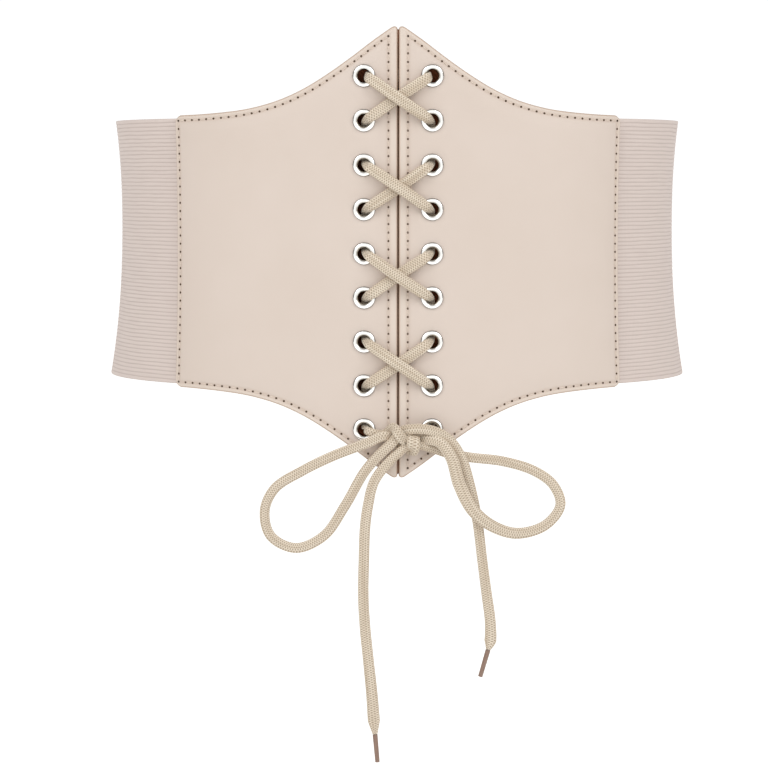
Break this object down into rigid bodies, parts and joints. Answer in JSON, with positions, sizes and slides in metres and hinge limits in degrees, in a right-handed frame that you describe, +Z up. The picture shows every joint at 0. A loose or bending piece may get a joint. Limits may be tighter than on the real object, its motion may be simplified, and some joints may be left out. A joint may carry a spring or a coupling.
{
  "type": "laced corset belt",
  "caption": "Wide corset belt with shaped leather front panels, elastic sides and back, and a lace through eyelets tied in a bow.",
  "frame": {"origin": "middle of the waist hollow, at the height of the fifth eyelet row, where the waist holds the belt", "axes": "+Z up along the wearer's waist, -Y out of the laced front, +X to the right of someone who looks at the front"},
  "size_m": [0.2752, 0.2079, 0.325],
  "materials": {
    "leather": "smooth matte cream leather",
    "elastic": "fine horizontal ribs, pinkish beige",
    "lace": "soft tubular braid, beige",
    "nickel": "polished nickel",
    "lace_tip": "brown plastic film",
    "dark_cloth": "dark brown plain cloth"
  },
  "bodies": {
    "root": {"front_panel_left": "leather", "front_panel_right": "leather", "elastic_left": "elastic", "elastic_right": "elastic", "back_closure": "leather", "modesty_panel": "dark_cloth", "eyelet_left_1": "nickel", "eyelet_left_2": "nickel", "eyelet_left_3": "nickel", "eyelet_left_4": "nickel", "eyelet_left_5": "nickel", "eyelet_left_6": "nickel", "eyelet_left_7": "nickel", "eyelet_left_8": "nickel", "eyelet_left_9": "nickel", "eyelet_right_1": "nickel", "eyelet_right_2": "nickel", "eyelet_right_3": "nickel", "eyelet_right_4": "nickel", "eyelet_right_5": "nickel", "eyelet_right_6": "nickel", "eyelet_right_7": "nickel", "eyelet_right_8": "nickel", "eyelet_right_9": "nickel", "lacing": "lace", "lace_left": "lace", "lace_right": "lace", "aglet_left": "lace_tip", "aglet_right": "lace_tip"}
  },
  "joints": []
}
